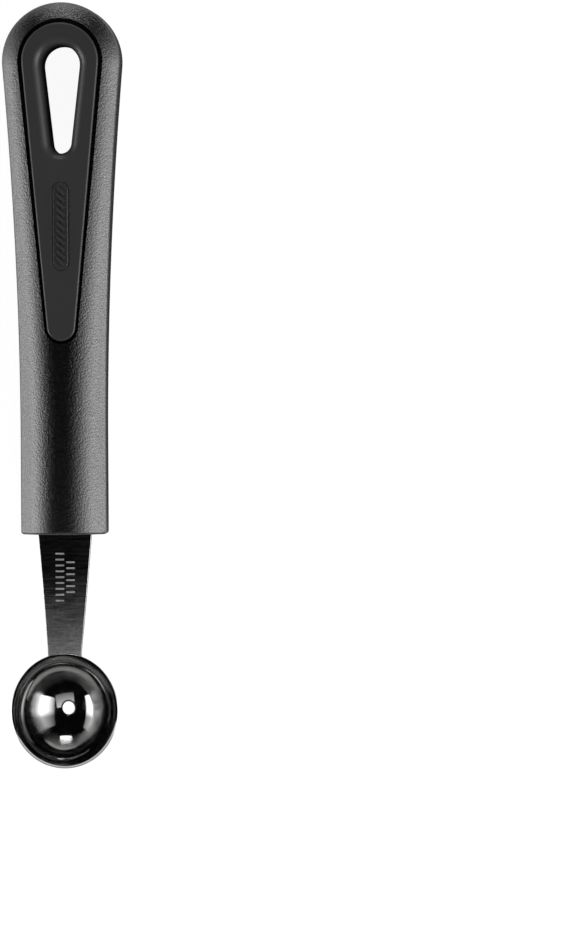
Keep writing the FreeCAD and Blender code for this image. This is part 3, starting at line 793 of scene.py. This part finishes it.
def bowl_section():
    """Closed section of the sheet, as distances out from the rim's circle and heights from the rim."""
    points = wall_points(ball_outside, rim_round)
    wall_top = points[-1][0]
    for step in range(1, RIM_STEPS + 1):
        angle = math.pi / 2 * step / RIM_STEPS
        points.append((
            wall_top - rim_round * (1 - math.cos(angle)), rim_z - rim_round * (1 - math.sin(angle)),
        ))
    points += wall_points(ball_inside, 0)[::-1]
    low_in = ball_z - math.sqrt(ball_inside**2 - drain_radius**2) - hole_round
    low_out = ball_z - math.sqrt(ball_outside**2 - drain_radius**2) + hole_round
    points += [(drain_radius, low_in), (drain_radius, low_out)]
    return [(out - rim_radius, height - rim_z, 0) for out, height in points]


def lathe_tree(sizes):
    """Tree that sweeps a section round a circle."""
    tree, given = new_tree("bowl lathe", sizes)
    circle = add_node(
        tree, "GeometryNodeCurvePrimitiveCircle",
        {"Resolution": given.outputs["Steps"], "Radius": given.outputs["Radius"]}, mode="RADIUS",
    )
    swept = add_node(
        tree, "GeometryNodeCurveToMesh",
        {"Curve": circle.outputs["Curve"], "Profile Curve": given.outputs["Geometry"]},
    )
    end_tree(tree, swept.outputs["Mesh"], bowl_steel)
    return tree


lathe_sizes = {"Steps": 192, "Radius": rim_radius}
bowl = grow_piece(
    "bowl_polished", line_object("bowl_section", bowl_section(), closed=True),
    lathe_tree(lathe_sizes), lathe_sizes,
)
print("bowl before it is placed:", [round(1000 * size, 2) for size in bowl.dimensions], "mm")

# %% Put the bowl in place
shape = bmesh.new()
shape.from_mesh(bowl.data)
# The sweep may turn the section over, and all of the bowl lies below its rim.
for vertex in shape.verts:
    x, y, z = vertex.co
    vertex.co = (x * width_share, bowl_axis_y + y * length_share, rim_z - abs(z))
bmesh.ops.recalc_face_normals(shape, faces=shape.faces)
shape.to_mesh(bowl.data)
shape.free()
bowl.data.shade_smooth()
bowl.data.set_sharp_from_angle(angle=CRISP_ANGLE)
print(f"bowl: {len(bowl.data.polygons)} faces")

# %% [markdown]
# ## Shank
# The shank is one strip of steel: a tang inside the handle, shoulders at the mouth, then a taper that
# bends up to the bowl's wall. A section with slightly rounded corners is set along the strip's
# middle line, and the last one is pressed onto the bowl's ball, so that no slit is left.

# %% Shank
strip_thickness = 1.5 * MM
strip_corner = 0.15 * MM
tang_half = 4.65 * MM
shoulder_half = 6.25 * MM
shoulder_y = mouth_y + 4.0 * MM
bowl_end_half = 3.9 * MM
bend_y = mouth_y - 6.0 * MM
strip_rise = 2.4 * MM
strip_end_y = mouth_y - 27.6 * MM
bend_run = bend_y - strip_end_y
bend_radius = (bend_run**2 + strip_rise**2) / (2 * strip_rise)
CORNER_STEPS = 4
BEND_STEPS = 24


def strip_middle(y):
    """Height of the strip's middle line, and its slope towards the bowl, at a place along it."""
    run = max(0.0, bend_y - y)
    lift = bend_radius - math.sqrt(bend_radius**2 - run**2)
    return middle_z + lift, math.asin(run / bend_radius)


def strip_half_width(y):
    """Half width of the strip outside its shoulders, which tapers to the bowl."""
    share = max(0.0, (mouth_y - y) / (mouth_y - strip_end_y))
    return shoulder_half + (bowl_end_half - shoulder_half) * share


def strip_ring(y, half_width):
    """Section of the strip with rounded corners, square to its middle line."""
    height, slope = strip_middle(y)
    points = []
    for corner, (side, level) in enumerate(((1, 1), (-1, 1), (-1, -1), (1, -1))):
        for step in range(CORNER_STEPS + 1):
            angle = math.pi / 2 * (corner + step / CORNER_STEPS)
            across = side * (half_width - strip_corner) + strip_corner * math.cos(angle)
            up = level * (strip_thickness / 2 - strip_corner) + strip_corner * math.sin(angle)
            points.append((across, y + up * math.sin(slope), height + up * math.cos(slope)))
    return points


def pressed_on_ball(ring):
    """Section moved along the strip until it meets the outside of the bowl."""
    pressed = []
    for x, y, z in ring:
        reach = math.sqrt(ball_outside**2 - (x / width_share)**2 - (z - ball_z)**2)
        pressed.append((x, bowl_axis_y + length_share * reach, z))
    return pressed


def make_shank():
    """Strip from its tang, past its shoulders, to the wall of the bowl."""
    rings = [strip_ring(shank_high.y, tang_half), strip_ring(shoulder_y, tang_half)]
    rings += [strip_ring(shoulder_y, shoulder_half), strip_ring(mouth_y, shoulder_half)]
    for step in range(BEND_STEPS + 1):
        y = bend_y + (strip_end_y - bend_y) * step / BEND_STEPS
        rings.append(strip_ring(y, strip_half_width(y)))
    rings[-1] = pressed_on_ball(rings[-1])
    shape = bmesh.new()
    rows = stitch(shape, rings, closed=True)
    shape.faces.new(rows[0])
    shape.faces.new(rows[-1])
    return new_piece("shank_strip", shape, strip_steel)


shank = make_shank()
print(f"shank: {len(shank.data.polygons)} faces, bend radius {1000 * bend_radius:.0f} mm")

# %% [markdown]
# The strip carries two rows of small light ticks, as on a rule. They follow the bent strip, so each row
# is a line along its upper face, and the same tree that made the ribs sets a bar across it at even
# steps.

# %% Etched ticks
def tick_row(name, x, first, last, count):
    """Row of ticks on the strip's upper face, between two distances from the mouth."""
    points = []
    for step in range(BEND_STEPS + 1):
        y = mouth_y - first - (last - first) * step / BEND_STEPS
        height, slope = strip_middle(y)
        points.append((x, y + strip_thickness / 2 * math.sin(slope),
                       height + strip_thickness / 2 * math.cos(slope)))
    sizes = {
        "Count": count, "Bar length": 2.0 * MM, "Bar width": 0.4 * MM, "Bar height": 0.06 * MM,
        "Lean": 0.0,
    }
    tree = bars_on_line(name, mark_steel, sizes)
    return grow_piece(name, line_object(name, points), tree, sizes)


left_ticks = tick_row("ticks_left", x=-1.2 * MM, first=4.6 * MM, last=15.6 * MM, count=9)
right_ticks = tick_row("ticks_right", x=1.3 * MM, first=6.6 * MM, last=13.6 * MM, count=6)
print("ticks:", [round(1000 * size, 2) for size in left_ticks.dimensions], "mm")

# %% [markdown]
# ## Fit everything to the frame
# Nothing on this tool moves, so every piece rides on the one body. Pieces that stand for a CAD node
# hide it; the core, the pin and the weld bead keep their CAD shape and only get their finish.

# %% Ride, replace and dress
for piece, slot, nodes in (
    (shell, "shell_plastic", ["handle_shell"]),
    (front_inlay, "inlay_rubber", ["front_inlay"]),
    (rear_inlay, "inlay_rubber", ["rear_inlay"]),
    (badge_ribs, "inlay_rubber", []),
    (bowl, "polished_steel", ["scoop_bowl"]),
    (shank, "strip_steel", ["shank"]),
    (left_ticks, "strip_steel", []),
    (right_ticks, "strip_steel", []),
):
    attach(piece, "root")
    for node in nodes:
        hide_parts(node)

cad_finishes = {"handle_core": core_plastic, "tang_pin": strip_steel, "weld_bead": weld_steel}
for node, material in cad_finishes.items():
    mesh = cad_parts[node].data
    mesh.materials.clear()
    mesh.materials.append(material)
print("CAD shapes with a finish:", ", ".join(cad_finishes))

# %% [markdown]
# ## Floor, light and camera
# The tool lies on a white sheet. The sheet glows evenly for the camera, so that it is white, and its own
# dull surface still takes the tool's shadow. It glows in mirrors too, but close to the tool that glow is
# darkened with painted shade, standing in for a shaded sheet, which keeps the lower edges of the handle
# dark.

# %% Floor
def white_sheet():
    """White paper that glows for the camera and in mirrors, its mirrored glow darkened by painted shade
    near the tool; it takes shadow.
    """
    cloud_size = 3.0 * MM
    shade_reach = 50.0 * MM
    shaded, unshaded = 0.7, 1.0
    glow_strength = 0.94
    material, tree, shader, place = new_material("paper_white_sheet")
    clouds = noise(tree, place, cloud_size, detail=2.0)
    path = add_node(tree, "ShaderNodeLightPath").outputs
    mirrored = calculate(tree, "MAXIMUM", path["Is Glossy Ray"], path["Is Transmission Ray"])
    # Painted shade: the glow that mirrors see is darkened where the tool closes in over the sheet.
    openness = add_node(tree, "ShaderNodeAmbientOcclusion", {"Distance": shade_reach}).outputs["AO"]
    painted_shade_factor = carried(tree, openness, (shaded, unshaded), (0.0, 1.0))
    in_mirrors = calculate(tree, "MULTIPLY", mirrored, painted_shade_factor)
    seen = calculate(tree, "MAXIMUM", path["Is Camera Ray"], in_mirrors)
    set_inputs(tree, shader, {
        "Base Color": colour_between(tree, clouds, "#787878", "#7c7c7c"),
        "Emission Color": linear("#ffffff"),
        "Emission Strength": calculate(tree, "MULTIPLY", seen, glow_strength),
        "Roughness": 0.9,
        "Specular IOR Level": 0.0,
    })
    return material


def make_floor():
    """Sheet a hair below the tool, so that no face of the two lies in the same plane."""
    half = 1.5
    gap = 0.02 * MM
    shape = bmesh.new()
    corners = [(-half, -half), (half, -half), (half, half), (-half, half)]
    shape.faces.new([shape.verts.new((x, y, -gap)) for x, y in corners])
    floor = new_piece("paper_sheet", shape, white_sheet())
    floor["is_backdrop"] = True


make_floor()
print("floor: one sheet under the tool")

# %% [markdown]
# Two large soft boxes stand at the sides, and fade upwards and towards the handle's end. A small bright
# lamp and a low one stand beyond the handle, a dim one before the bowl, and a small card hangs close to
# the bowl. No large light is overhead, so flat polished faces stay dark.

# %% Lamps
LAMP_DISTANCE = 1.1
FADE_SPAN = (-0.1, 0.2)     # stretch of Y over which a side lamp fades towards the handle's end


def soft_box(name, azimuth, heights, width, glows, end_share=1.0, outline="RECTANGLE",
             distance=LAMP_DISTANCE, centre=(0, 0, 0)):
    """Area lamp at a distance from a centre, facing it, between two height angles in degrees.

    It goes from one glow to another upwards, and fades to a share of them along the tool.
    """
    lowest, highest = heights
    length = 2 * distance * math.tan(math.radians(highest - lowest) / 2)
    lamp = bpy.data.lights.new(name, "AREA")
    lamp.shape = outline
    lamp.size = width
    lamp.size_y = length
    lamp.energy = math.pi * width * length
    lamp.use_nodes = True
    tree = lamp.node_tree
    tree.nodes.clear()
    spot = add_node(tree, "ShaderNodeNewGeometry").outputs
    on_lamp = add_node(tree, "ShaderNodeSeparateXYZ", {"Vector": spot["Parametric"]}).outputs["Y"]
    in_room = add_node(tree, "ShaderNodeSeparateXYZ", {"Vector": spot["Position"]}).outputs["Y"]
    upward = carried(tree, on_lamp, (0.0, 1.0), glows)
    onward = carried(tree, in_room, FADE_SPAN, (1.0, end_share), interpolation_type="SMOOTHSTEP")
    strength = calculate(tree, "MULTIPLY", upward, onward)
    glow = add_node(tree, "ShaderNodeEmission", {"Strength": strength})
    add_node(tree, "ShaderNodeOutputLight", {"Surface": glow.outputs["Emission"]})
    turn = math.radians(azimuth)
    rise = math.radians((lowest + highest) / 2)
    way = Vector((math.cos(turn) * math.cos(rise), math.sin(turn) * math.cos(rise), math.sin(rise)))
    box = bpy.data.objects.new(name, lamp)
    box.location = Vector(centre) + way * distance
    box.rotation_euler = way.to_track_quat("Z", "Y").to_euler()
    bpy.context.scene.collection.objects.link(box)


soft_box("right_box", azimuth=0, heights=(2, 63), width=1.3, glows=(6.0, 0.3), end_share=0.23)
soft_box("left_box", azimuth=180, heights=(0.5, 43), width=1.3, glows=(6.4, 1.5), end_share=0.23)
soft_box(
    "far_box", azimuth=91, heights=(32.5, 35.5), width=0.5, glows=(12.0, 12.0), outline="ELLIPSE"
)
soft_box("far_low_box", azimuth=91, heights=(3, 17), width=0.6, glows=(2.8, 2.0))
soft_box("near_box", azimuth=-90, heights=(1, 20), width=0.9, glows=(1.0, 0.5))
soft_box(
    "near_card", azimuth=-84, heights=(54, 83), width=0.1, glows=(0.2, 0.9),
    distance=0.13, centre=(0, bowl_axis_y, rim_z),
)

world = bpy.data.worlds.new("dark_room")
world.use_nodes = True
set_inputs(
    world.node_tree, world.node_tree.nodes["Background"], {"Color": linear("#404040"), "Strength": 0.05}
)
bpy.context.scene.world = world
bpy.context.scene.view_settings.view_transform = "Standard"

# %% [markdown]
# The camera hangs high above the picture's middle, a little to the tool's right, so the tool is seen
# almost square from above with a slight lean. A long lens keeps the perspective gentle. Its place and
# turn were fitted to points whose real places are known, such as the drain hole and the handle's ends.

# %% Camera
focal_length = 214.2
camera_place = (0.1168, 0.0189, 1.3)
camera_turn = (-1.701, 2.927, -0.264)
lens = bpy.data.cameras.new("camera")
lens.lens = focal_length
camera = bpy.data.objects.new("camera", lens)
camera.location = camera_place
camera.rotation_euler = [math.radians(angle) for angle in camera_turn]
bpy.context.scene.collection.objects.link(camera)
bpy.context.scene.camera = camera
print("camera at", tuple(round(v, 3) for v in camera.location))

# %% [markdown]
# Last, the CAD's box and the dressed part's box are printed, so that a piece that has left its size or
# place shows at once.

# %% Print the two boxes and finish
boxes = {"cad": cad_box, "visual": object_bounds()}
for name, corners in boxes.items():
    print(name, "box in mm:", [[round(1000 * v, 2) for v in corner] for corner in corners])
